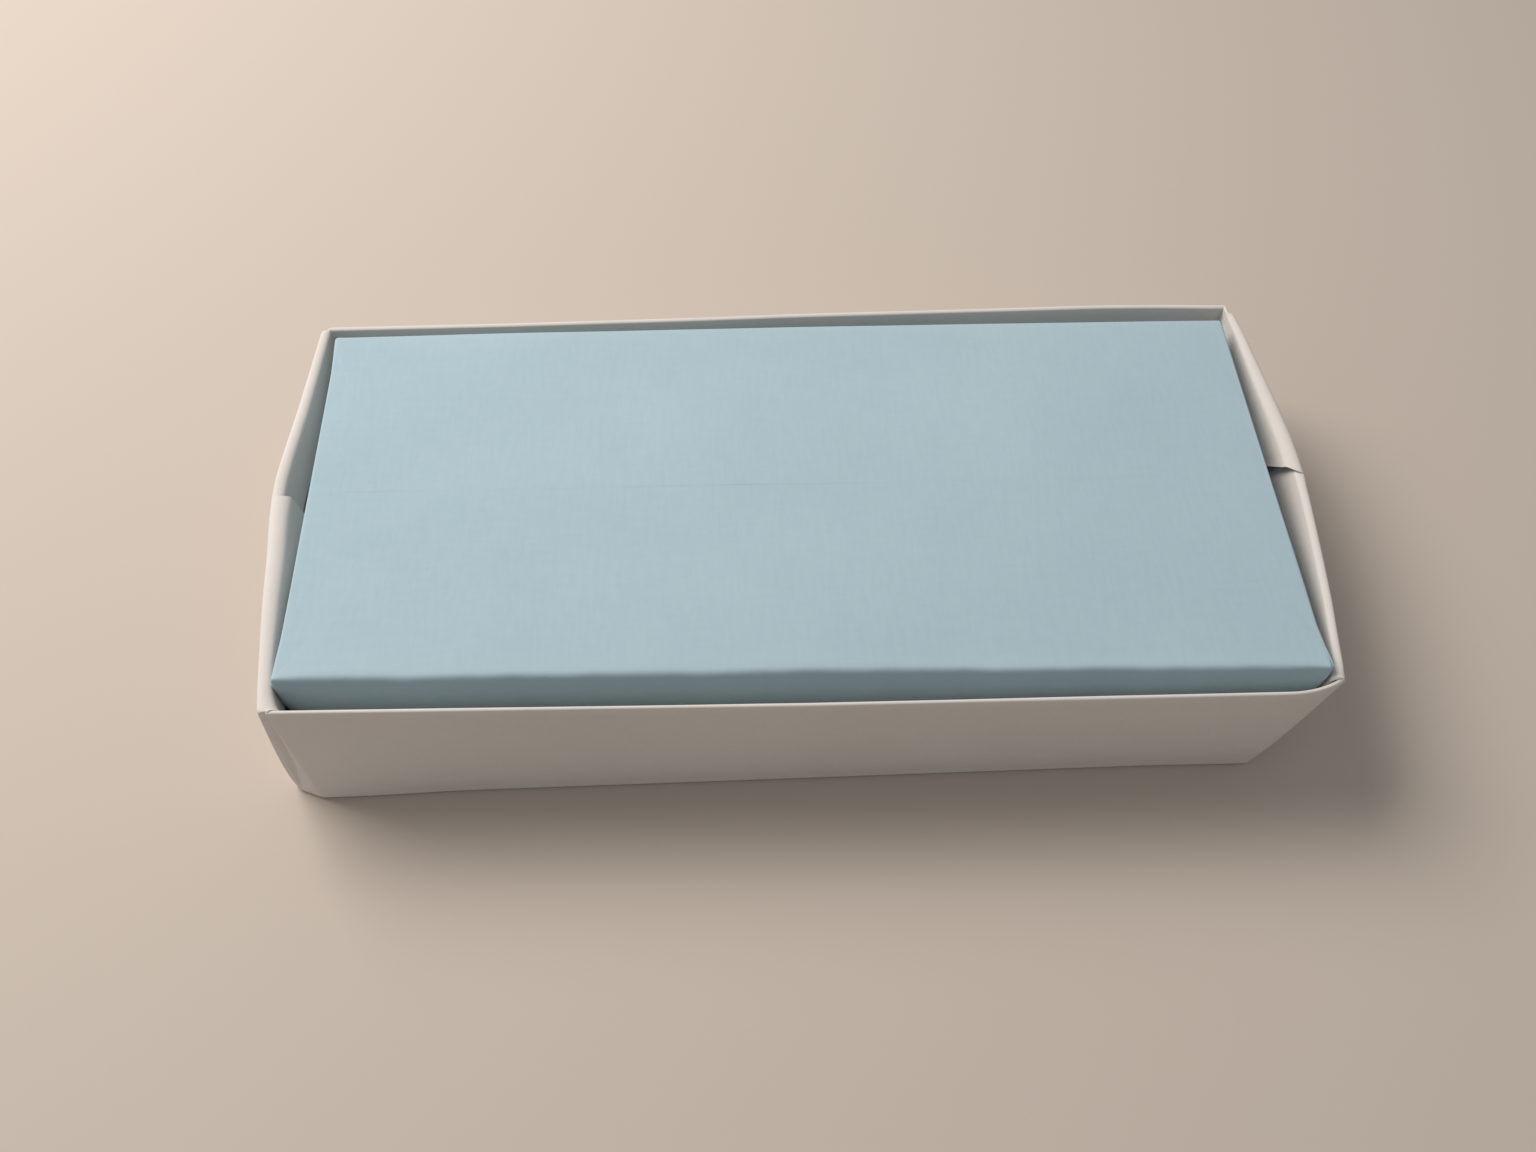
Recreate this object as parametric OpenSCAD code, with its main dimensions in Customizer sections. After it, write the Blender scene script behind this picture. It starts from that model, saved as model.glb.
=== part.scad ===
// Folded paper box: an open outer tray and an inner tray that closes it upside down.
// Each tray is one sheet with its rims hemmed inwards, modelled as one solid of paper thickness.
// Millimetres, +X along the length, +Y to the back, +Z up, origin at the middle of the footprint.

/* [Sheets] */
// Length of the flat sheet that each tray is folded from
sheet_length = 297; // [295:1:303]
// Width of that sheet
sheet_width = 210; // [208:1:214]
// Thickness of the paper
paper = 0.25; // [0.2:0.01:0.3]
// Space left between the two leaves of a flat hem, at the rim
hem_gap = 0.2; // [0.15:0.05:0.4]
// How far the raw edge of a flat hem springs off its wall
hem_spring = 1; // [0.8:0.1:1.5]

/* [Outer tray] */
// Length of the base between its end folds
base_length = 214; // [210:0.5:216]
// Width of the base between its side folds
base_width = 105; // [103:0.5:107]
// Height of the walls
wall_height = 33; // [31:0.5:34]
// Radius of the fold round the base
base_fold = 0.6; // [0.5:0.05:1]
// Overall length across the bulging middles of the end rims
rim_length = 225; // [221:0.5:227]
// Length across the end rims at the front corners
front_rim_length = 212.4; // [211:0.1:215]
// Length across the end rims at the back corners
back_rim_length = 215.6; // [213:0.1:217]
// Width across the long rims at their middles
rim_width = 105; // [103:0.5:107]
// How far the front rim leans out at the left corner
lean_front_left = -2.7; // [-4:0.1:1]
// How far the front rim leans out at the right corner
lean_front_right = 1; // [-1:0.1:2]
// How far the back rim leans out at the left corner
lean_back_left = -0.2; // [-2:0.1:1]
// How far the back rim leans out at the right corner
lean_back_right = 1; // [-1:0.1:2]
// Thickness of the rolled end rim at its blunt ends
roll_corner = 2.2; // [1.6:0.1:2.6]
// Thickness of the rolled end rim at its middle
roll_middle = 3; // [2.4:0.1:3.6]
// How far the upper flap stands off at the seam in the middle of an end
flap_lift = 2; // [0:0.1:2.6]
// Width of the slit between the two flaps of an end
seam_slit = 0.3; // [0.2:0.1:0.6]
// Rounding of the long walls where they tuck into the left end
tuck_left = 0.9; // [0.8:0.1:3]
// Rounding of the long walls where they tuck into the right end
tuck_right = 2.4; // [1.5:0.1:4]
// How fully the end rims swell out in front of their seams
swell_front = 1.2; // [1:0.1:2.5]
// How fully they swell out behind their seams
swell_back = 1.8; // [1:0.1:2.5]
// Blunted base corner at the front left, along the length
cut_left_length = 5.6; // [3:0.1:8]
// Blunted base corner at the front left, along the width
cut_left_width = 1.6; // [1:0.1:4]
// Blunted base corner at the front right, along the length
cut_right_length = 10.8; // [6:0.1:12]
// Blunted base corner at the front right, along the width
cut_right_width = 13; // [8:0.1:14]
// Share of that corner at the front right that runs up to the end of the rim as a facet of its own
facet_right = 0.7; // [0:0.05:0.7]
// Blunted base corners at the back, both ways
cut_back = 3; // [2:0.1:5]

/* [Inner tray] */
// Room between the inner tray and the outer one at each end, at the base
end_slip = 3.5; // [3.2:0.1:5]
// Room between the inner tray and the outer one at each side, at the base
side_slip = 6; // [5:0.1:7]
// How much wider the right end of its base is than the left end
lid_taper = 4; // [0:0.1:5]
// How far its upturned base stands above the outer tray's rim
lid_rise = 2; // [1:0.1:3]
// How far it lies turned in the outer tray, in degrees
lid_turn = -0.7; // [-0.8:0.1:0.8]
// Radius of its soft side folds
lid_side_fold = 1; // [0.7:0.1:1.5]
// Radius of its crisp end folds
lid_end_fold = 0.7; // [0.6:0.1:1]
// Rise of the crease along the middle of its upturned base
lid_crease = 0.3; // [0:0.05:0.6]
// Rounding of its lower corners
lid_round = 9.5; // [8:0.5:12]
// How far its end rims bow out at their middles
lid_bow = 0.6; // [0:0.1:1.2]
// Thickness of its rolled end rims
lid_roll = 1.3; // [1.2:0.1:2]
// Softened top corner at the front right, along the length
lid_cut_length = 2; // [1:0.1:6]
// Softened top corner at the front right, along the width
lid_cut_width = 1.6; // [1:0.1:5]

/* [Hidden] */

// The flat hem: two leaves of paper and the space between them
hem_thick = 2 * paper + hem_gap;

// The inner tray stands on the outer tray's base
lid_height = wall_height + lid_rise - paper;
lid_length = base_length - 2 * end_slip;
lid_width = base_width - 2 * side_slip;

// What is left of a sheet after the base and two walls is folded in as hems
function hem_depth(sheet, base, wall) = min((sheet - base) / 2 - wall, wall - 4);

// Stations along a quarter of a tray: along the long wall, round the corner and along the end
long_steps = [0, 0.2, 0.4, 0.6, 0.8, 0.93, 1];
turn_steps = [1/3, 2/3, 1];
end_steps = [0.05, 0.12, 0.22, 0.36, 0.52, 0.68, 0.8, 0.89, 0.95, 1];

// Fields of a station
FOOT = 0;
RIM = 1;
INNER = 2;
FOLD = 3;
HEM = 4;
LIFT = 5;

function mix(a, b, t) = a + (b - a) * t;
function unit(v) = v / norm(v);
function left_of(a, b) = let (d = unit(b - a)) [-d[1], d[0]];
function column(stations, field) = [for (s = stations) s[field]];
function backwards(list) = [for (i = [len(list) - 1 : -1 : 0]) list[i]];
function without_last(list) = [for (i = [0 : len(list) - 2]) list[i]];

// Inward vector at point i of a closed anticlockwise path,
// long enough to keep a sheet's thickness round a corner
function inward(path, i) =
    let (n = len(path),
         before = left_of(path[(i + n - 1) % n], path[i]),
         after = left_of(path[i], path[(i + 1) % n]))
    (before + after) / (1 + before * after);

// One quarter of a tray in plan, from the middle of a long wall to the middle of an end.
// Each station holds its foot point, outer rim point, inner hem point, fold radius, hem depth and flap lift.
// The waist is the half width of the base at the middle of the long wall.
// The facet is the share of the base's cut corner that lies under the blunt end of the rim.
function quarter(foot, waist, cut, facet, rim, mid, round, swell, roll, folds, hems, lift) =
    let (
        step = roll[0] - hem_thick,
        turn = [rim[0] - step - round, rim[1] - round],
        tuck = rim[1] - 1.2 * round,
        blunt = 0.5,
        spring = min(hem_spring, 0.8 * (round - hem_thick)) * (1 - 0.8 * facet),
        end_v = tuck - blunt,
        foot_step = 1 - 0.6 * facet,
        foot_end = foot[1] - cut[1] - 4 * foot_step,
        cut_at = function (t) [foot[0] - cut[0] * (1 - t), foot[1] - cut[1] * t],
        along = [for (s = long_steps)
            let (u = s * turn[0],
                 v = mix(mid[1], rim[1], s))
            [[s * (foot[0] - cut[0]), mix(waist, foot[1], s)], [u, v], [u, v - hem_thick],
             folds[0], hems[0], hem_spring]],
        corner = [for (s = turn_steps)
            let (d = [sin(90 * s), cos(90 * s)])
            [cut_at(s * (1 - facet)), turn + round * d,
             turn + (round - hem_thick) * d, mix(folds[0], folds[1], s), hems[0], spring]],
        tucked = [for (k = [0 : 2])
            [cut_at(mix(1 - facet, 1, (k + 1) / 3)) - [0, foot_step * (k + 1)],
             [[rim[0] - step, tuck], [rim[0] - blunt, tuck], [rim[0], end_v]][k],
             [rim[0] - roll[0], tuck - paper - blunt * k],
             folds[1], mix(hems[0], hems[1], k / 2), mix(spring, 0, k / 2)]],
        end = [for (s = end_steps)
            let (v = mix(end_v - blunt, seam_slit / 2, s),
                 u = mix(mid[0], rim[0], pow(v / end_v, swell)))
            [[foot[0], mix(foot_end, seam_slit / 2, s)], [u, v],
             [u - mix(roll[0], roll[1], sin(90 * s)), v], folds[1], hems[1], lift * pow(s, 6)]]
    ) concat(along, corner, tucked, end);

// A quarter set out in one of the four corners, with its points in plan
function placed(stations, sx, sy) =
    [for (s = stations)
        [[sx * s[FOOT][0], sy * s[FOOT][1]], [sx * s[RIM][0], sy * s[RIM][1]],
         [sx * s[INNER][0], sy * s[INNER][1]], s[FOLD], s[HEM], s[LIFT]]];

// The four quarters joined anticlockwise, without the repeated stations at the middles of the long walls
function whole(front_right, back_right, back_left, front_left) =
    concat(placed(front_right, 1, -1), without_last(backwards(placed(back_right, 1, 1))),
           placed(back_left, -1, 1), without_last(backwards(placed(front_left, -1, -1))));

// The section of the sheet at one station, from the underside of the base, up the wall, over the rim,
// round the hem, down the inner side of the wall and on to the upper side of the base
function section(s, height, lean, foot_in, rim_in, hem_in, dip) =
    let (
        f = s[FOOT],
        r = s[RIM],
        i = s[INNER],
        fold = s[FOLD],
        inner_r = r + paper * rim_in,
        inner_i = i - paper * hem_in,
        rho = norm(r - i) / 2,
        rho_in = norm(inner_r - inner_i) / 2,
        top = height - rho,
        drop = lean * s[HEM] / height + s[LIFT] * unit(hem_in),
        at = function (p, z) [p[0], p[1], z],
        soft = 1 - sin(45),
        arch = [for (a = [30 : 30 : 150])
            at((r + i) / 2 + (r - i) / 2 * cos(a), top + rho * sin(a))],
        arch_in = [for (a = [135, 90, 45])
            at((inner_r + inner_i) / 2 + (inner_r - inner_i) / 2 * cos(a), top + rho_in * sin(a))]
    ) concat(
        [at(f + fold * foot_in, -dip), at(f + fold * soft * foot_in, fold * soft - dip),
         at(f, fold), at((f + r) / 2, (fold + top) / 2), at(r, top)],
        arch,
        [at(i, top), at(i + drop / 2, height - s[HEM] / 2), at(i + drop, height - s[HEM]),
         at(inner_i + drop, height - s[HEM]), at(inner_i + drop / 2, height - s[HEM] / 2), at(inner_i, top)],
        arch_in,
        [at(inner_r, top), at((f + paper * foot_in + inner_r) / 2, (fold + top) / 2),
         at(f + paper * foot_in, fold),
         at(f + (paper + (fold - paper) * soft) * foot_in, paper + (fold - paper) * soft - dip),
         at(f + fold * foot_in, paper - dip)]);

// Section points that bound the free leaf of a hem, and its raw edge between them.
// Both faces of the sheet are split along the same diagonals, so that they stay a paper thickness apart.
LEAF_IN = 10;
RAW_EDGE = 12;
LEAF_OUT = 15;

// A folded tray, mouth up, from its stations
module tray(stations, height, half_width, crease) {
    n = len(stations);
    feet = column(stations, FOOT);
    rims = column(stations, RIM);
    inners = column(stations, INNER);
    rows = [for (j = [0 : n - 1])
        section(stations[j], height, feet[j] - rims[j], inward(feet, j), inward(rims, j),
                inward(inners, j), crease * max(0, 1 - abs(feet[j][1]) / half_width))];
    m = len(rows[0]);
    is_seam = function (j) abs(feet[j][1]) < seam_slit && abs(feet[(j + 1) % n][1]) < seam_slit;
    id = function (j, k) (j % n) * m + k;
    below = n * m;
    above = below + 1;
    points = concat([for (row = rows) each row], [[0, 0, -crease], [0, 0, paper - crease]]);
    skin = [for (j = [0 : n - 1], k = [0 : m - 2])
        if (!(is_seam(j) && k >= LEAF_IN && k < LEAF_OUT))
            each k < RAW_EDGE
                ? [[id(j, k), id(j, k + 1), id(j + 1, k + 1)], [id(j, k), id(j + 1, k + 1), id(j + 1, k)]]
                : [[id(j, k), id(j, k + 1), id(j + 1, k)], [id(j, k + 1), id(j + 1, k + 1), id(j + 1, k)]]];
    slits = [for (j = [0 : n - 1]) if (is_seam(j))
        each concat(
            [for (k = [0 : 1]) each [
                [id(j, LEAF_IN + k), id(j, LEAF_IN + k + 1), id(j, LEAF_OUT - k - 1)],
                [id(j, LEAF_IN + k), id(j, LEAF_OUT - k - 1), id(j, LEAF_OUT - k)],
                [id(j + 1, LEAF_IN + k), id(j + 1, LEAF_OUT - k - 1), id(j + 1, LEAF_IN + k + 1)],
                [id(j + 1, LEAF_IN + k), id(j + 1, LEAF_OUT - k), id(j + 1, LEAF_OUT - k - 1)]]],
            [[id(j, LEAF_IN), id(j, LEAF_OUT), id(j + 1, LEAF_OUT)],
             [id(j, LEAF_IN), id(j + 1, LEAF_OUT), id(j + 1, LEAF_IN)]])];
    base = [for (j = [0 : n - 1])
        each [[below, id(j, 0), id(j + 1, 0)], [above, id(j + 1, m - 1), id(j, m - 1)]]];
    polyhedron(points, concat(skin, slits, base), convexity = 8);
}

module outer_tray() {
    foot = [base_length, base_width] / 2;
    half = foot[1];
    mid = [rim_length, rim_width] / 2;
    roll = [roll_corner, roll_middle];
    folds = [base_fold, base_fold];
    hems = [hem_depth(sheet_width, base_width, wall_height),
            hem_depth(sheet_length, base_length, wall_height)];
    front_u = front_rim_length / 2;
    back_u = back_rim_length / 2;
    cut_left = [cut_left_length, cut_left_width];
    cut_right = [cut_right_length, cut_right_width];
    cut_rear = [cut_back, cut_back];
    color("ivory")
        tray(whole(
            quarter(foot, half, cut_right, facet_right, [front_u, half + lean_front_right], mid,
                    tuck_right, swell_front, roll, folds, hems, 0),
            quarter(foot, half, cut_rear, 0, [back_u, half + lean_back_right], mid,
                    tuck_right, swell_back, roll, folds, hems, flap_lift),
            quarter(foot, half, cut_rear, 0, [back_u, half + lean_back_left], mid,
                    tuck_left, swell_back, roll, folds, hems, 0),
            quarter(foot, half, cut_left, 0, [front_u, half + lean_front_left], mid,
                    tuck_left, swell_front, roll, folds, hems, flap_lift)
        ), wall_height, half, 0);
}

module inner_tray() {
    half = lid_width / 2;
    wide = [lid_length / 2, half + lid_taper / 4];
    narrow = [lid_length / 2, half - lid_taper / 4];
    mid = [lid_length / 2 + lid_bow, half];
    roll = [lid_roll, lid_roll];
    folds = [lid_side_fold, lid_end_fold];
    hems = [hem_depth(sheet_width, lid_width, lid_height),
            hem_depth(sheet_length, lid_length, lid_height)];
    crisp = [1, 1];
    soft = [lid_cut_length, lid_cut_width];
    left = quarter(narrow, half, crisp, 0, narrow, mid, lid_round, 1, roll, folds, hems, 0);
    color("lightblue")
        translate([0, 0, wall_height + lid_rise])
        rotate([0, 0, lid_turn])
        mirror([0, 0, 1])
        tray(whole(
            quarter(wide, half, soft, 0, wide, mid, lid_round, 1, roll, folds, hems, 0),
            quarter(wide, half, crisp, 0, wide, mid, lid_round, 1, roll, folds, hems, 0),
            left, left
        ), lid_height, half, lid_crease);
}

outer_tray();
inner_tray();
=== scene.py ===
# %% [markdown]
# # A folded paper box
# The object is two trays, each folded from one sheet of paper. The white tray stands mouth up, and the pale
# blue tray lies upside down inside it and closes it. The packed solids give the places and sizes, and this
# lesson dresses them: it folds finer sheets over the same lines and gives them a paper finish.

# %% Load the frame
import math
import bmesh
import bpy
import numpy as np
from mathutils import Matrix, Vector


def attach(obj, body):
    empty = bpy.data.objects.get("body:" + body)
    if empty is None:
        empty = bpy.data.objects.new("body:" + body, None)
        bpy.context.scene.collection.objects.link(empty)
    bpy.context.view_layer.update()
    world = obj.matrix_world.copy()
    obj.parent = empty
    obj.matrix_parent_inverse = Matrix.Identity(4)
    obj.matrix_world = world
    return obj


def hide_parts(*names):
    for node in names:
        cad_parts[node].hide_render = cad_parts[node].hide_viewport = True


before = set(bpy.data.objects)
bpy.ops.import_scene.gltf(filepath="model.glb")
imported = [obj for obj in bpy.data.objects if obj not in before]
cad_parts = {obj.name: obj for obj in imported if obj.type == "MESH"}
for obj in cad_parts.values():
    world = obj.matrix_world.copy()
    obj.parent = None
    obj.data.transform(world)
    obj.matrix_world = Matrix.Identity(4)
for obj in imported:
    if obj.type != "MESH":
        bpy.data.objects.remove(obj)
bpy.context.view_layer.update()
scene = bpy.context.scene

# %% [markdown]
# ## Camera
# The photograph looks down on the long side from a hand's height, a little left of the middle. Three turns
# and a position describe that view. They are written out as a matrix, because the small roll of a hand-held
# camera is easier to give there than with a tracking constraint.

# %% Camera at the photograph's angle
IMAGE_WIDTH, FOCAL_PIXELS = 1536, 1350
PITCH, YAW, ROLL = (math.radians(a) for a in (55.63, 4.118, 1.651))
CAMERA_PLACE, SENSOR = (-0.0181, -0.17913, 0.2631), 36


def turned(angle):
    c, s = math.cos(angle), math.sin(angle)
    return np.array([[c, -s, 0], [s, c, 0], [0, 0, 1]])


dip, rise = math.sin(PITCH), math.cos(PITCH)
level = np.array([[1, 0, 0], [0, -dip, -rise], [0, rise, -dip]])
to_right, to_foot, ahead = turned(ROLL) @ level @ turned(YAW)
camera = bpy.data.objects.new("camera", bpy.data.cameras.new("camera"))
camera.data.sensor_fit = "HORIZONTAL"
camera.data.sensor_width = SENSOR
camera.data.lens = SENSOR * FOCAL_PIXELS / IMAGE_WIDTH
camera.matrix_world = Matrix.Translation(CAMERA_PLACE) @ Matrix(
    np.column_stack([to_right, -to_foot, -ahead]).tolist()).to_4x4()
scene.collection.objects.link(camera)
scene.camera = camera
print("lens", round(camera.data.lens, 2), "mm")

# %% [markdown]
# ## Floor and light
# A pale floor and one broad soft lamp, high behind the box and to its left, as from a window. It is set so
# that a level sheet shows about its own colour. A sun would cut hard shadows under the rims, so a broad lamp
# is used. The world's even light fills the front wall, which turns away from the lamp.

# %% Floor, lamp and world
FLOOR_HALF, FLOOR_Z = 3, -0.0003
SQUARE = ((-1, -1), (1, -1), (1, 1), (-1, 1))
floor_mesh = bpy.data.meshes.new("floor")
floor_mesh.from_pydata([(x * FLOOR_HALF, y * FLOOR_HALF, FLOOR_Z) for x, y in SQUARE], [], [(0, 1, 2, 3)])
floor = bpy.data.objects.new("floor", floor_mesh)
scene.collection.objects.link(floor)
floor_paint = bpy.data.materials.new("floor_paint")
floor_paint.use_nodes = True
floor_paint.node_tree.nodes["Principled BSDF"].inputs["Base Color"].default_value = (0.57, 0.49, 0.42, 1)
floor_paint.node_tree.nodes["Principled BSDF"].inputs["Roughness"].default_value = 0.9
floor_mesh.materials.append(floor_paint)

lamp = bpy.data.objects.new("window", bpy.data.lights.new("window", "AREA"))
lamp.data.shape = "RECTANGLE"
lamp.data.size, lamp.data.size_y = 0.6, 0.5
lamp.data.energy = 8.5
lamp.data.color = (1.0, 0.955, 0.915)
lamp.location = (-0.50, 0.38, 0.70)
lamp.rotation_euler = (Vector((0, 0, 0)) - lamp.location).to_track_quat("-Z", "Y").to_euler()
scene.collection.objects.link(lamp)

world = bpy.data.worlds.new("studio")
world.use_nodes = True
world.node_tree.nodes["Background"].inputs["Color"].default_value = (0.95, 0.98, 1.0, 1)
world.node_tree.nodes["Background"].inputs["Strength"].default_value = 0.34
scene.world = world
scene.view_settings.view_transform = "Standard"
print("lamp", lamp.data.energy, "W over a floor of", floor_mesh.polygons[0].area, "square metres")

# %% [markdown]
# ## Setting out a tray in plan
# A folded tray is easiest to describe from above. At each station round it there is a foot point on the fold
# of the base, a rim point on the outer side of the wall, and an inner point where the hem comes down again.
# A bevelled box could not show the tucks at the corners, so the stations are set out with arrays of numbers,
# in millimetres. Each station also carries values for its section, such as the size of its fold and its hem.

# %% Stations and smooth lines
LONG, TURN, TUCKED, END = 80, 12, 15, 48
QUARTER = LONG + TURN + TUCKED + END
SEAMS = (QUARTER - 1, 3 * QUARTER - 2)
FOOT, RIM, INNER = slice(0, 2), slice(2, 4), slice(4, 6)
VALUES = ("fold", "hem", "spring", "lap", "trail", "spine", "drift", "sink", "belly", "rubbed", "corner")
FOLD, HEM, SPRING, LAP, TRAIL, SPINE, DRIFT, SINK, BELLY, CREASE_HIGHLIGHT, CORNER = range(6, 6 + len(VALUES))
LINE_SAMPLES, LINE_PASSES = 400, 60


def mix(a, b, t):
    return a + (b - a) * t


def stations(foot, rim, inner, **values):
    parts = [*foot, *rim, *inner, *(values.get(name, 0) for name in VALUES)]
    return np.column_stack(np.broadcast_arrays(*[np.asarray(part, float) for part in parts]))


def line(x, at, values):
    """A line through a few points, rounded where it bends."""
    fine = np.linspace(at[0], at[-1], LINE_SAMPLES)
    values = np.interp(fine, at, values)
    for _ in range(LINE_PASSES):
        values[1:-1] = (values[:-2] + 2 * values[1:-1] + values[2:]) / 4
    return np.interp(x, fine, values)


print("stations in a quarter", QUARTER)

# %% [markdown]
# ## A quarter of a tray
# One quarter runs from the middle of a long wall, round the corner, into the tuck behind the end's rolled rim
# and on to the seam in the middle of the end. On the real tray these parts differ only in size from corner to
# corner, so one function with named sizes makes all eight quarters.

# %% A quarter
PAPER, SLIT, BLUNT, THINNEST = 0.25, 0.06, 0.5, 0.05
LONG_SPRING, END_SPRING = 0.8, 0.3
SPINE_WALL, SPINE_CORNER, SPINE_TUCK = 0.8, 0.83, 0.86
CROWDING, SOFT_FOLD, TUCK_ENDS, FAN = 1.25, 20, 2.6, 2.2
TOE_GAP, TOE_STEP = 0.3, 3.2


def quarter(foot, waist, cut, rim, end_foot, end_rim, turn, recess, step, roll, folds, hems, belly,
            thick=0.9, sweep=90, strip=0, retreat=1, plump=0, bow=0, sink=0, seam=0, lap=0, trail=0, under=0):
    """Half a long wall, a corner and half an end. The corner of the base is cut off. Strip is the share of
    that cut which lies under the tuck, where the foot draws back by retreat. The long rim turns in, and the
    blunt end of the rolled rim stands recess and step away from it. Belly, plump and bow swell the wall at
    its middle, at the corner and at the blunt end. Sink lowers the corner's rim. Seam, lap, trail and under
    shape the flap at the middle of the end."""
    bend = math.radians(sweep)
    face = rim[1] - recess
    blunt_u = line(face, *end_rim)
    turn_u, turn_v = blunt_u - step - turn[0], rim[1] - turn[1]
    thin = [max(turn[0] - thick * math.sin(bend), THINNEST),
            max(turn[1] - thick * (1 - math.cos(bend)), THINNEST)]

    s = 1 - (1 - np.linspace(0, 1, LONG)) ** CROWDING
    v = mix(rim[0], rim[1], s)
    along = stations((s * (foot[0] - cut[0]), mix(waist, foot[1], s)),
                     (s * turn_u, v), (s * turn_u, v - thick),
                     fold=mix(folds[0], folds[1], s ** SOFT_FOLD), hem=hems[0], spring=LONG_SPRING,
                     spine=SPINE_WALL * s, belly=belly)

    s = np.linspace(0, 1, TURN + 1)[1:]
    a, b = np.sin(s * bend) / math.sin(bend), (1 - np.cos(s * bend)) / (1 - math.cos(bend))
    share = s * (1 - strip)
    # Where plump is below zero, the wall rows of the corner get a painted highlight along the crease.
    corner = stations((foot[0] - cut[0] * (1 - share), foot[1] - cut[1] * share),
                      (turn_u + turn[0] * a, rim[1] - turn[1] * b),
                      (turn_u + thin[0] * a, rim[1] - thick - thin[1] * b),
                      fold=folds[1], hem=hems[0], spring=END_SPRING, spine=mix(SPINE_WALL, SPINE_CORNER, s),
                      sink=sink * s, belly=mix(belly, plump, s), rubbed=s ** 2 if plump < 0 else 0, corner=1)

    s = np.linspace(0, 3, TUCKED + 1)[1:]

    def knots(*values):
        return np.interp(s, range(4), values)

    share = mix(1 - strip, 1, np.clip(s / TUCK_ENDS, 0, 1))
    wide = [blunt_u - line(BLUNT * k, *roll) for k in (0, 1, 2)]
    toe = foot[1] - cut[1] * share - s * retreat
    tucked = stations((line(toe, *end_foot) - cut[0] * (1 - share), toe),
                      (knots(blunt_u - step, blunt_u - step, blunt_u - min(BLUNT, step), blunt_u),
                       knots(turn_v, face, face, face - BLUNT)),
                      (knots(turn_u + thin[0], *wide),
                       knots(rim[1] - thick - thin[1], face - PAPER, face - PAPER - BLUNT, face - 2 * BLUNT)),
                      fold=folds[1], hem=knots(hems[0], hems[0], mix(*hems, 0.5), hems[1]), spring=END_SPRING,
                      spine=mix(SPINE_CORNER, SPINE_TUCK, s / 3), sink=knots(sink, sink, 0, 0),
                      belly=mix(plump, bow, s / 3), corner=1)

    even = np.linspace(0, 1, END + 1)[1:]
    s, fan = 0.5 - 0.5 * np.cos(even * math.pi), np.clip(even * FAN, 0, 1)
    v = mix(face - 2.2 * BLUNT, seam + SLIT / 2, s)
    u = line(v, *end_rim)
    toe = mix(foot[1] - cut[1] - TOE_GAP - TOE_STEP * retreat, seam + SLIT / 2, s)
    end = stations((line(toe, *end_foot), toe), (u, v), (u - line(face - v, *roll), v),
                   fold=folds[1], hem=hems[1], spring=END_SPRING, lap=lap * s ** 10, trail=trail * s ** 6,
                   spine=mix(SPINE_TUCK, 1, fan), drift=seam * fan ** 2, sink=under * s ** 4,
                   belly=belly * np.sin(s * math.pi) + bow * np.clip(1 - 8 * s, 0, 1))
    return np.vstack([along, corner, tucked, end])


print("each quarter carries", len(VALUES), "values beside its three points")

# %% [markdown]
# ## Four quarters round a tray
# Each quarter is mirrored into its own corner, and two run backwards, so that the stations go once round
# anticlockwise. The sharp steps at the corners are then eased, as paper never turns on a point.

# %% Four quarters round a tray
SIGNS = {"front_right": (1, -1), "back_right": (1, 1), "back_left": (-1, 1), "front_left": (-1, -1)}


def ringed(quarters):
    parts = []
    for name, (sx, sy) in SIGNS.items():
        part = quarters[name].copy()
        part[:, [0, 2, 4, SPINE]] *= sx
        part[:, [1, 3, 5, DRIFT]] *= sy
        part[:, [LAP, TRAIL]] *= -sy
        parts.append(part)
    front_right, back_right, back_left, front_left = parts
    return np.vstack([front_right, back_right[::-1][:-1], back_left, front_left[::-1][:-1]])


def eased(ring, passes=2):
    ring = ring.copy()
    near = np.clip(sum(np.roll(ring[:, CORNER], k) for k in range(-3, 4)), 0, 1)[:, None]
    for _ in range(passes):
        soft = (np.roll(ring, 1, 0) + 2 * ring + np.roll(ring, -1, 0)) / 4
        ring[:, :6] = mix(ring[:, :6], soft[:, :6], near)
    return ring


print("corners", ", ".join(SIGNS))

# %% [markdown]
# ## From plan to section
# At each station the sheet has the same section: from the middle line of the base out to the foot fold, up
# the wall, over the rim and down the hem to its raw edge. The rows of points are named here once. Where the
# base meets its fold, the edge points may only run forward round a corner, or the sheet would tangle there.

# %% Rows of a section
BASE = np.array([0, 0.003, 0.008, 0.02, 0.05, 0.1, 0.2, 0.32, 0.45, 0.58, 0.7, 0.8, 0.88, 0.94, 0.98])
BEND = np.linspace(0, math.pi / 2, 6)
WALL = np.linspace(0, 1, 16)[1:-1]
ARCH = np.linspace(0, math.pi, 13)
LEAF = np.linspace(0, 1, 9)[1:]
ARCH_ROW = len(BASE) + len(BEND) + len(WALL)
WAYS = np.array([(1, 1), (-1, 1), (-1, -1), (1, -1)])
SPINE_SHORT, WIDE_RIM, WIDE_RISE, WIDE_LEAN, LOW_BELLY = 8, 1, 0.8, 1.35, 0.7


def inward(path):
    before = path - np.roll(path, 1, 0)
    after = np.roll(path, -1, 0) - path
    way = before / np.linalg.norm(before, axis=1)[:, None] + after / np.linalg.norm(after, axis=1)[:, None]
    way /= np.maximum(np.linalg.norm(way, axis=1)[:, None], 1e-6)
    return np.column_stack([-way[:, 1], way[:, 0]])


def forward(edge, ring):
    edge, corner = edge.copy(), np.flatnonzero(ring[:, CORNER])
    for group, ways in zip(np.split(corner, np.flatnonzero(np.diff(corner) > 1) + 1), WAYS):
        part = slice(group[0] - 3, group[-1] + 4)
        edge[part] = np.maximum.accumulate(edge[part] * ways, 0) * ways
    return edge


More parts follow.
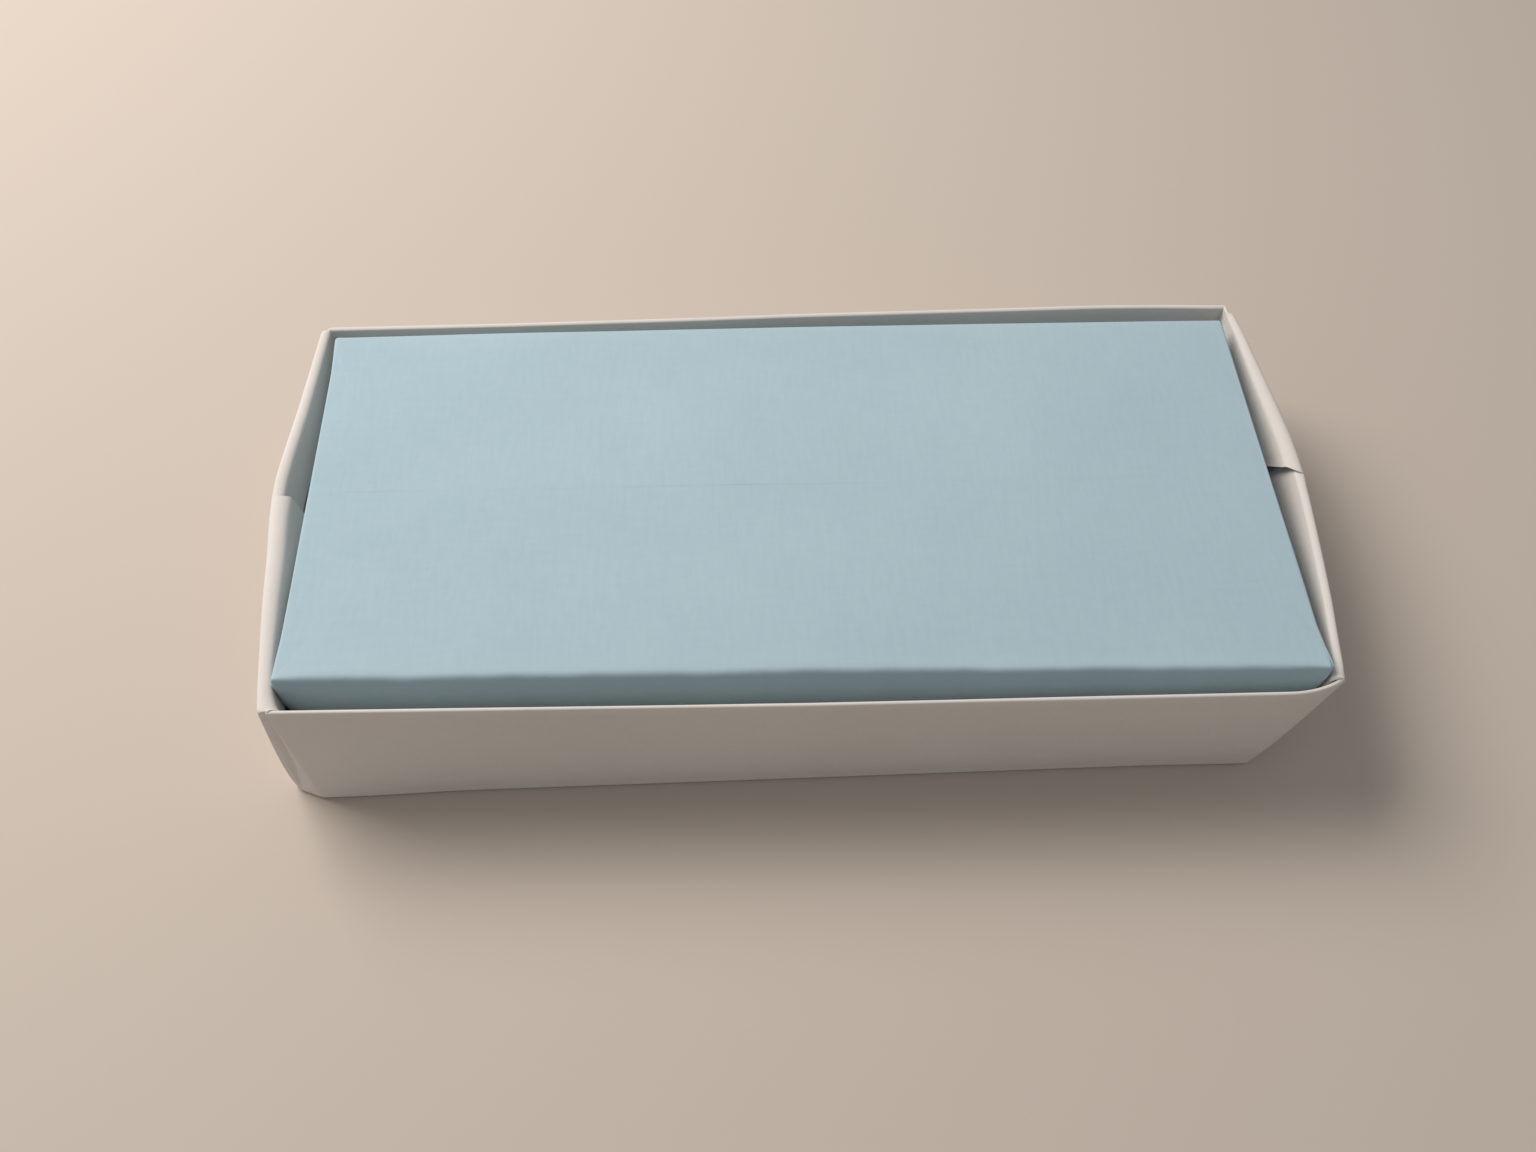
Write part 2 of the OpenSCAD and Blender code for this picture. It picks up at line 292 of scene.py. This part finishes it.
def sections(ring, edge, height, crease, half):
    foot, rim, inner, edge = ring[:, None, FOOT], ring[:, None, RIM], ring[:, None, INNER], edge[:, None]
    fold, hem, spring, lap, trail, belly = (ring[:, None, k] for k in (FOLD, HEM, SPRING, LAP, TRAIL, BELLY))
    across = inner - rim
    wide = np.linalg.norm(across, axis=2)
    rise = np.where(wide > WIDE_RIM, WIDE_RISE, 1) * wide / 2
    top = height - ring[:, None, SINK] - rise
    reach = np.abs(edge[..., 0]).max() - SPINE_SHORT
    spine = np.dstack([ring[:, None, SPINE] * reach, ring[:, None, DRIFT]])

    def dip(xy):
        return crease * np.clip(1 - np.abs(xy[..., 1]) / half, 0, 1)

    xy = mix(spine, edge, BASE[None, :, None])
    blocks = [np.dstack([xy, -dip(xy)])]
    xy = foot + (edge - foot) * (1 - np.sin(BEND))[None, :, None]
    blocks.append(np.dstack([xy, fold * (1 - np.cos(BEND)) - dip(xy) * np.cos(BEND)]))
    out = (foot - edge) / np.maximum(np.linalg.norm(foot - edge, axis=2), 0.1)[..., None]
    xy = mix(foot, rim, WALL[None, :, None]) + (belly * np.sin(WALL ** LOW_BELLY * math.pi))[..., None] * out
    blocks.append(np.dstack([xy, mix(fold, top, WALL)]))
    part = 0.5 - 0.5 * np.cos(ARCH)
    xy = rim + across * (part ** np.where(wide > WIDE_RIM, WIDE_LEAN, 1))[..., None]
    xy[..., 1] += lap * part ** 3
    blocks.append(np.dstack([xy, top + rise * np.sin(ARCH)]))
    drop = (foot - rim) * (hem / height)[..., None] + spring[..., None] * across / wide[..., None]
    xy = inner + drop * LEAF[None, :, None]
    xy[..., 1] += mix(lap, trail, LEAF)
    blocks.append(np.dstack([xy, mix(top, height - hem, LEAF)]))
    return np.concatenate(blocks, axis=1)


print("rows in a section", ARCH_ROW + len(ARCH) + len(LEAF))

# %% [markdown]
# ## From section to sheet
# Sweeping the section round the stations gives one sheet of four-sided faces. The seam in the middle of each
# end stays open, because two flaps meet there. Three attributes go with the sheet: where it is folded and so
# a little rubbed, which at the front left crease also carries a painted highlight; where the old crease runs,
# which gets painted shade; and where the paper may give. Painted textures would need a flat layout of the
# sheet, and attributes need none.

# %% Sheet mesh
RUBBED_FOLD, RUBBED_RIM, NEAR_FOLD, CREASE_SIDE = 0.6, 0.3, [0.2, 0.5], 0.4
# How strongly the painted shade along the old crease shows, along the middle line.
CREASE_SHADE_ALONG = ((-103, -86, -78, -40, -36, 4, 10, 103), (1, 1, 0.25, 0.3, 1, 1, 0.35, 0.2))


def row_weights(base, wall, rim, edge):
    return np.concatenate([np.full(len(BASE), base), np.full(len(BEND), min(base, wall)),
                           wall * np.sin(WALL * math.pi), np.full(len(ARCH), rim), mix(rim, edge, LEAF)])


def sheet_object(name, points, ring, give, flipped=False):
    n, m = points.shape[:2]
    faces = [(j * m + k, (j + 1) % n * m + k, (j + 1) % n * m + k + 1, j * m + k + 1)
             for j in range(n) for k in range(m - 1) if not (j in SEAMS and k >= ARCH_ROW)]
    if flipped:
        faces = [f[::-1] for f in faces]
    mesh = bpy.data.meshes.new(name)
    mesh.from_pydata((points.reshape(-1, 3) * 0.001).tolist(), [], faces)
    folds = np.concatenate([np.zeros(len(BASE) - 2), NEAR_FOLD, np.full(len(BEND), RUBBED_FOLD),
                            np.zeros(len(WALL)), np.full(len(ARCH), RUBBED_RIM), np.zeros(len(LEAF))])
    # Wall rows that take each station's painted crease highlight.
    rubbed = np.concatenate([np.zeros(len(BASE) + len(BEND)), np.ones(len(WALL)),
                             np.zeros(len(ARCH) + len(LEAF))])
    crease = np.concatenate([[1, CREASE_SIDE], np.zeros(m - 2)])
    crease_shade_along = line(points[:, 0, 0], *CREASE_SHADE_ALONG)
    near = np.clip(sum(np.roll(ring[:, CORNER], k) for k in range(-4, 5)) / 4, 0, 1)
    calm = 1 - np.outer(near, np.concatenate([BASE ** 4, np.ones(m - len(BASE))]))
    for label, values in (("fold", np.maximum(folds, np.outer(ring[:, CREASE_HIGHLIGHT], rubbed)).ravel()),
                          ("crease", np.outer(crease_shade_along, crease).ravel()), ("give", (calm * give).ravel())):
        mesh.attributes.new(label, "FLOAT", "POINT").data.foreach_set("value", values.astype(np.float32))
    shape = bmesh.new()
    shape.from_mesh(mesh)
    shape.verts.ensure_lookup_table()
    base_points = [shape.verts[j * m + k] for j in range(n) for k in range(len(BASE) + 1)]
    bmesh.ops.remove_doubles(shape, verts=base_points, dist=1e-6)
    bmesh.ops.dissolve_degenerate(shape, edges=shape.edges[:], dist=1e-7)
    shape.to_mesh(mesh)
    shape.free()
    piece = bpy.data.objects.new(name, mesh)
    scene.collection.objects.link(piece)
    print(name, "sheet of", len(mesh.polygons), "faces")
    return piece


print("a seam stays open from row", ARCH_ROW)

# %% [markdown]
# ## The white tray
# Its four corners are not alike. The back ones are tight. The front right one turns in slowly over a wide
# blunt corner of the base. At the front left a narrow strip runs up beside the front wall, with a small
# triangle at its foot. Mirroring one corner would lose that, so each has its own sizes. The bulge of the ends
# and the waves of the back rim and the front foot are lines through a few points.

# %% Set out the white tray
WHITE_HEIGHT, WHITE_HALF, BACK_FROM, FRONT_FROM = 33, 52.5, 46.5, -50
WHITE = dict(waist=WHITE_HALF, folds=(0.6, 0.6), hems=(19.5, 8.5), belly=0.2)
STRAIGHT = ((-3, 53), (107, 107))
BACK_RIM = ((-104, -66, -19, 4, 77, 92, 104), (0, -0.28, -0.13, 0.17, 0.63, 0.3, -0.3))
FRONT_FOOT = ((-107, -90, -74, 74, 90, 107), (-0.5, -0.45, 0, 0, -0.3, -0.4))

white_ring = ringed({
    "front_right": quarter(
        foot=(107, 52.5), cut=(10.8, 13), rim=(53, 54.2), turn=(12, 3.2), sweep=40, recess=3.2, step=0,
        end_foot=STRAIGHT,
        end_rim=((-2, 3, 6, 21.7, 31.8, 41.4, 51), (112.75, 112.1, 111.85, 110.25, 109.15, 107.8, 106.5)),
        roll=((0, 1.3, 3.5, 10, 25, 55), (2.7, 2.7, 1.8, 1.8, 1.8, 1.8)),
        strip=0.97, retreat=0.42, plump=0.6, bow=0.6, sink=0.5, seam=-1, lap=5, trail=7, under=0.4, **WHITE),
    "back_right": quarter(
        foot=(107, 52.5), cut=(3, 3), rim=(53.1, 53.3), turn=(1, 1), thick=1.1, recess=2.7, step=1.1,
        end_foot=STRAIGHT,
        end_rim=((0, 6, 12, 20, 29, 42, 51), (112.6, 112.75, 112.65, 112.1, 111.15, 109.85, 108.65)),
        roll=((0, 15, 30, 55), (1.8, 2.7, 3.5, 3.8)), seam=1, lap=-2.8, trail=-9, **WHITE),
    "back_left": quarter(
        foot=(107, 52.5), cut=(3, 3), rim=(53.1, 52.3), turn=(0.8, 0.8), thick=1.1, recess=0.9, step=1.5,
        end_foot=STRAIGHT,
        end_rim=((0, 7, 13, 25, 37, 52), (112.1, 112.1, 111.6, 110.3, 109.25, 108)),
        roll=((0, 20, 55), (2.2, 2.6, 2.8)), seam=2.4, under=0.4, **WHITE),
    "front_left": quarter(
        foot=(107.9, 52.5), cut=(6.2, 2.6), rim=(53, 50.65), turn=(0.4, 0.4), recess=0.5, step=2,
        end_foot=((-3, 44, 50), (107, 107.1, 107.9)),
        end_rim=((-4, 3, 14, 24, 33, 50), (112.2, 111.8, 110.6, 109.8, 108.8, 106.8)),
        roll=((0, 2, 6, 12, 25, 55), (4.6, 3.7, 2.8, 2.9, 3.5, 4.4)),
        strip=0.28, retreat=0.1, plump=-0.9, bow=0.6, seam=-2.4, lap=0.5, **WHITE),
})
is_back = white_ring[:, 3] > BACK_FROM
white_ring[:, [3, 5]] += np.where(is_back, line(white_ring[:, 2], *BACK_RIM), 0)[:, None]
is_front = white_ring[:, 1] < FRONT_FROM
white_ring[:, 1] += np.where(is_front, line(white_ring[:, 0], *FRONT_FOOT), 0)
white_ring = eased(white_ring)
print("white tray stations", len(white_ring))
white_edge = white_ring[:, FOOT] + white_ring[:, FOLD, None] * inward(white_ring[:, FOOT])
white_points = sections(white_ring, forward(white_edge, white_ring), WHITE_HEIGHT, 0, WHITE_HALF)
white_tray = sheet_object("white_tray", white_points, white_ring, row_weights(0, 0.7, 0.2, 0.5))

# %% [markdown]
# ## The blue tray
# The same folds make the blue tray, which is smaller in plan and lies mouth down. Its top face carries the
# crease from the first fold of the sheet, its front fold is soft and a little wavy, and its right end came
# out wider than its left. The waves are a sum of sines along the fold, which needs no random numbers.

# %% Set out the blue tray
FRONT = dict(waist=46.7, folds=(1.5, 0.7), belly=1.4, plump=1)
BACK = dict(waist=47.1, folds=(0.5, 0.7), belly=0.5)
BLUE = dict(turn=(9.5, 9.5), recess=11.4, step=0.6, roll=((0, 55), (1.3, 1.3)), hems=(23.7, 10.1))
RIPPLES = ((0.2, 21, 1.2), (0.14, 9.1, 0.6), (0.12, 4.7, 2.1), (0.09, 2.3, 0.4), (0.06, 1.3, 1.7))
RIPPLE_SHARE, RIPPLE_ENDS, RIPPLE_FADE, FRONT_SIDE = 0.65, 100, 12, -44

blue_ring = ringed({
    "front_right": quarter(
        foot=(104.7, 48.3), cut=(0.6, 0.5), rim=(46.6, 47.5),
        end_foot=((0, 38, 48), (103.6, 103.75, 104.7)), end_rim=((0, 48), (104, 103.4)), **FRONT, **BLUE),
    "back_right": quarter(
        foot=(103.5, 47.3), cut=(0.6, 0.6), rim=(46.6, 47.1),
        end_foot=((0, 48), (103.6, 103.5)), end_rim=((0, 48), (104, 103.3)), **BACK, **BLUE),
    "back_left": quarter(
        foot=(104.4, 45.8), cut=(0.6, 0.6), rim=(46.6, 45.5),
        end_foot=((0, 34, 46), (103.5, 103.8, 104.4)), end_rim=((0, 46), (104, 103.5)), **BACK, **BLUE),
    "front_left": quarter(
        foot=(103.8, 45.7), cut=(0.3, 0.3), rim=(46.6, 45.5),
        end_foot=((0, 36, 46), (103.5, 103.4, 103.8)), end_rim=((0, 46), (104, 103.3)), **FRONT, **BLUE),
})
along = blue_ring[:, 0]
ripple = sum(height * np.sin(along / length + phase) for height, length, phase in RIPPLES)
ripple *= RIPPLE_SHARE * np.clip((RIPPLE_ENDS - np.abs(along)) / RIPPLE_FADE, 0, 1)
blue_ring[:, 1] += np.where(blue_ring[:, 1] < FRONT_SIDE, ripple, 0)
blue_ring = eased(blue_ring)
print("blue tray stations", len(blue_ring), "with ripples up to", round(float(np.abs(ripple).max()), 2), "mm")

# %% [markdown]
# ## The edge of the blue panel
# The panel that faces up ends a little inside its folds, further in at the soft front fold than elsewhere.
# The four fold lines are read off the stations and moved in. The tray is then turned over, so that it lies
# mouth down, and given its small twist in the white tray.

# %% Turn the blue tray over
LID_TOP, LID_TURN = 35, math.radians(-0.7)
BLUE_HEIGHT, BLUE_HALF, CREASE_DIP = 34.75, 46.5, 0.3
SIDE_FROM, END_FROM, END_HALF = 44, 100, 45.5
SOFT_INSET, END_INSET, BACK_INSET, CORNER_X = 1.4, 0.6, 0.4, 104
foot_x, foot_y = blue_ring[:, FOOT].T
plain = blue_ring[:, CORNER] == 0


def fold_line(pick, along, across):
    order = np.argsort(along[pick])
    return np.interp(along, along[pick][order], across[pick][order])


front, back = (fold_line(plain & (side * foot_y > SIDE_FROM), foot_x, foot_y) for side in (-1, 1))
left, right = (fold_line(plain & (side * foot_x > END_FROM) & (np.abs(foot_y) < END_HALF), foot_y, foot_x)
               for side in (-1, 1))
soft = mix(SOFT_INSET, END_INSET, np.clip(np.abs(foot_x) / CORNER_X, 0, 1) ** SOFT_FOLD)
blue_edge = np.column_stack([np.clip(foot_x, left + END_INSET, right - END_INSET),
                             np.clip(foot_y, front + soft, back - BACK_INSET)])
flat = sections(blue_ring, forward(blue_edge, blue_ring), BLUE_HEIGHT, CREASE_DIP, BLUE_HALF)
c, s = math.cos(LID_TURN), math.sin(LID_TURN)
blue_points = np.dstack([c * flat[..., 0] - s * flat[..., 1], s * flat[..., 0] + c * flat[..., 1],
                         LID_TOP - flat[..., 2]])
blue_tray = sheet_object("blue_tray", blue_points, blue_ring, row_weights(1, 0.7, 0.1, 0.4), flipped=True)

# %% [markdown]
# ## A small language for node trees
# Node trees are easier to read as sums than as lists of links. A Field wraps a socket, and its operators add
# Math nodes. Every other node comes from one method, which takes its type, its settings and the values of its
# sockets. The sheet's tree and both finishes are written with it.

# %% Fields and nodes
class Field:
    def __init__(self, nodes, socket):
        self.nodes, self.socket = nodes, socket

    def maths(self, operation, a, b):
        return self.nodes.node("ShaderNodeMath", {"operation": operation}, {0: a, 1: b})

    def __add__(self, other):
        return self.maths("ADD", self, other)

    def __sub__(self, other):
        return self.maths("SUBTRACT", self, other)

    def __mul__(self, other):
        return self.maths("MULTIPLY", self, other)

    def __rsub__(self, other):
        return self.maths("SUBTRACT", other, self)

    __radd__, __rmul__ = __add__, __mul__


class Nodes:
    def __init__(self, tree):
        self.tree = tree
        tree.nodes.clear()

    def node(self, kind, settings=None, plugs=None, out=0):
        made = self.tree.nodes.new(kind)
        for key, value in (settings or {}).items():
            setattr(made, key, value)
        for key, value in (plugs or {}).items():
            for part in value if isinstance(value, list) else [value]:
                if isinstance(part, Field):
                    self.tree.links.new(part.socket, made.inputs[key])
                else:
                    made.inputs[key].default_value = part
        return Field(self, made.outputs[out]) if len(made.outputs) else made


print("reflected operators", [name for name in vars(Field) if name.startswith("__r")])

# %% [markdown]
# ## Paper from a sheet
# The swept sheets have no thickness and are too true. A Solidify modifier could thicken them, but not loosen
# them. One Geometry Nodes tree does both: it lets the paper give a little along its normal by a fixed noise,
# where the attribute "give" allows it, then pushes a second face through by the paper's thickness, closes the
# raw edges and sets the finish.

# %% The tree that finishes a sheet
paper_tree = bpy.data.node_groups.new("finished_paper", "GeometryNodeTree")
SOCKETS = (("Sheet", "NodeSocketGeometry"), ("Thickness", "NodeSocketFloat"),
           ("Wave Height", "NodeSocketFloat"), ("Waves per Metre", "NodeSocketFloat"),
           ("Seed", "NodeSocketFloat"), ("Finish", "NodeSocketMaterial"))
SHARP_FOLD = math.radians(42)
plug = {label: paper_tree.interface.new_socket(label, in_out="INPUT", socket_type=kind).identifier
        for label, kind in SOCKETS}
paper_tree.interface.new_socket("Paper", in_out="OUTPUT", socket_type="NodeSocketGeometry")
g = Nodes(paper_tree)
given = paper_tree.nodes.new("NodeGroupInput")
given = {label: Field(g, given.outputs[label]) for label, _ in SOCKETS}
noise = g.node("ShaderNodeTexNoise", {"noise_dimensions": "4D"},
               {"W": given["Seed"], "Scale": given["Waves per Metre"], "Detail": 1.0})
give = g.node("GeometryNodeInputNamedAttribute", {"data_type": "FLOAT"}, {"Name": "give"})
lift = (noise - 0.5) * given["Wave Height"] * 2 * give
offset = g.node("ShaderNodeVectorMath", {"operation": "SCALE"},
                {0: g.node("GeometryNodeInputNormal"), "Scale": lift})
waved = g.node("GeometryNodeSetPosition", None, {"Geometry": given["Sheet"], "Offset": offset})
pushed = g.node("GeometryNodeExtrudeMesh", {"mode": "FACES"},
                {"Mesh": waved, "Offset Scale": 0 - given["Thickness"], "Individual": False})
pushed = g.node("GeometryNodeFlipFaces", None, {"Mesh": pushed})
closed = g.node("GeometryNodeJoinGeometry", None, {"Geometry": [waved, pushed]})
closed = g.node("GeometryNodeMergeByDistance", None, {"Geometry": closed, "Distance": 1e-6})
sharp = g.node("FunctionNodeCompare", {"data_type": "FLOAT", "operation": "GREATER_THAN"},
               {0: g.node("GeometryNodeInputMeshEdgeAngle"), 1: SHARP_FOLD})
smooth = g.node("GeometryNodeSetShadeSmooth", {"domain": "FACE"}, {"Geometry": closed, "Shade Smooth": True})
smooth = g.node("GeometryNodeSetShadeSmooth", {"domain": "EDGE"},
                {"Geometry": smooth, "Selection": sharp, "Shade Smooth": False})
real = g.node("GeometryNodeRealizeInstances", None, {"Geometry": smooth})
done = g.node("GeometryNodeSetMaterial", None, {"Geometry": real, "Material": given["Finish"]})
g.node("NodeGroupOutput", None, {0: done})
print(paper_tree.name, "has", len(paper_tree.nodes), "nodes")


def finish_sheet(piece, **values):
    modifier = piece.modifiers.new("paper", "NODES")
    modifier.node_group = paper_tree
    for label, value in values.items():
        modifier[plug[label.replace("_", " ")]] = value
    shaped = piece.evaluated_get(bpy.context.evaluated_depsgraph_get())
    mesh = bpy.data.meshes.new_from_object(shaped)
    piece.modifiers.remove(modifier)
    piece.data = mesh
    print(piece.name, "finished with", len(mesh.polygons), "faces")


# %% [markdown]
# ## Paper finishes
# Both papers are dull, with a tooth of fine fibres, a faint cloudiness where the pulp is thicker, and a
# slightly rubbed, lighter colour along the folds, which at the front left crease of the white tray is a
# painted highlight. On the blue tray a painted shade darkens the old crease. The fibres are noise stretched
# three ways, so that no direction stands out. An image of paper would repeat or stretch over the folds, and
# noise does neither.

# %% White and blue paper
def paper_finish(name, colour, shade, rubbed, crease_line):
    material = bpy.data.materials.new(name)
    material.use_nodes = True
    n = Nodes(material.node_tree)
    place = n.node("ShaderNodeTexCoord", None, None, "Object")

    def noise(scale, detail, turn=(0, 0, 0), stretch=(1, 1, 1)):
        spot = n.node("ShaderNodeMapping", None, {"Vector": place, "Rotation": turn, "Scale": stretch})
        return n.node("ShaderNodeTexNoise", None, {"Vector": spot, "Scale": scale, "Detail": detail})

    def attribute(label):
        return n.node("ShaderNodeAttribute", {"attribute_name": label}, None, "Fac")

    def blend(factor, a, b):
        return n.node("ShaderNodeMix", {"data_type": "RGBA"}, {0: factor, 6: a, 7: b}, 2)

    fibres = sum(noise(900.0, 3.0, (0.4 * k, 0.7 * k, 1.05 * k), (1, 0.22, 1)) for k in (1, 2)) + noise(
        900.0, 3.0, (0, 0, 0.2), (0.22, 1, 1))
    cloud = noise(28.0, 3.0)
    tone = blend((cloud - 0.5) * 0.9 + (fibres - 1.5) * 0.35 + 0.35, (*colour, 1), (*shade, 1))
    # Folds and rims get a lighter, rubbed colour; along the front left crease the same colour is a painted
    # highlight.
    tone = blend(attribute("fold") * 0.5, tone, (*rubbed, 1))
    # Painted shade along the old crease, broken up by noise.
    crease_shade_patches = (noise(60.0, 2.0) - 0.32) * 1.6
    tone = blend(attribute("crease") * crease_shade_patches * crease_line, tone, (*[0.62 * c for c in colour], 1))
    tooth = n.node("ShaderNodeBump", None, {"Strength": 0.22, "Distance": 0.00012, "Height": fibres})
    rough = (fibres - 1.5) * 0.12 + 0.86
    skin = n.node("ShaderNodeBsdfPrincipled", None, {
        "Base Color": tone, "Roughness": rough, "Specular IOR Level": 0.3, "Normal": tooth})
    n.node("ShaderNodeOutputMaterial", None, {"Surface": skin})
    return material


# The third colour is the rubbed colour, which is also the painted crease highlight; the last number is the
# strength of the painted crease shade.
white_paper = paper_finish("white_paper", (0.72, 0.665, 0.62), (0.645, 0.595, 0.55), (0.88, 0.82, 0.77), 0)
blue_paper = paper_finish("blue_paper", (0.42, 0.55, 0.605), (0.365, 0.485, 0.54), (0.44, 0.56, 0.605), 0.8)
print("finishes", white_paper.name, "and", blue_paper.name)

# %% [markdown]
# ## Finishing the two trays
# Each sheet gets its thickness, its waves and its finish, and then rides on its own body, so that the blue
# tray lifts out of the white one. The white paper has shorter waves than the blue, and a seed of its own.

# %% Finish the two trays and hang them on the frame
WAVE_HEIGHT = 0.0005
for piece, waves, seed, finish in ((white_tray, 22.0, 3.0, white_paper), (blue_tray, 16.0, 8.0, blue_paper)):
    finish_sheet(piece, Thickness=PAPER * 0.001, Wave_Height=WAVE_HEIGHT, Waves_per_Metre=waves, Seed=seed,
                 Finish=finish)
for piece, body, node, slot in ((white_tray, "base", "outer_tray", "white_paper"),
                                (blue_tray, "lid", "inner_tray", "blue_paper")):
    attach(piece, body)
    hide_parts(node)
    print(piece.name, "rides on", body)

# %% [markdown]
# ## End
# The scene ends here, with both dressed trays riding on their bodies.

# %% End
print("scene set up")
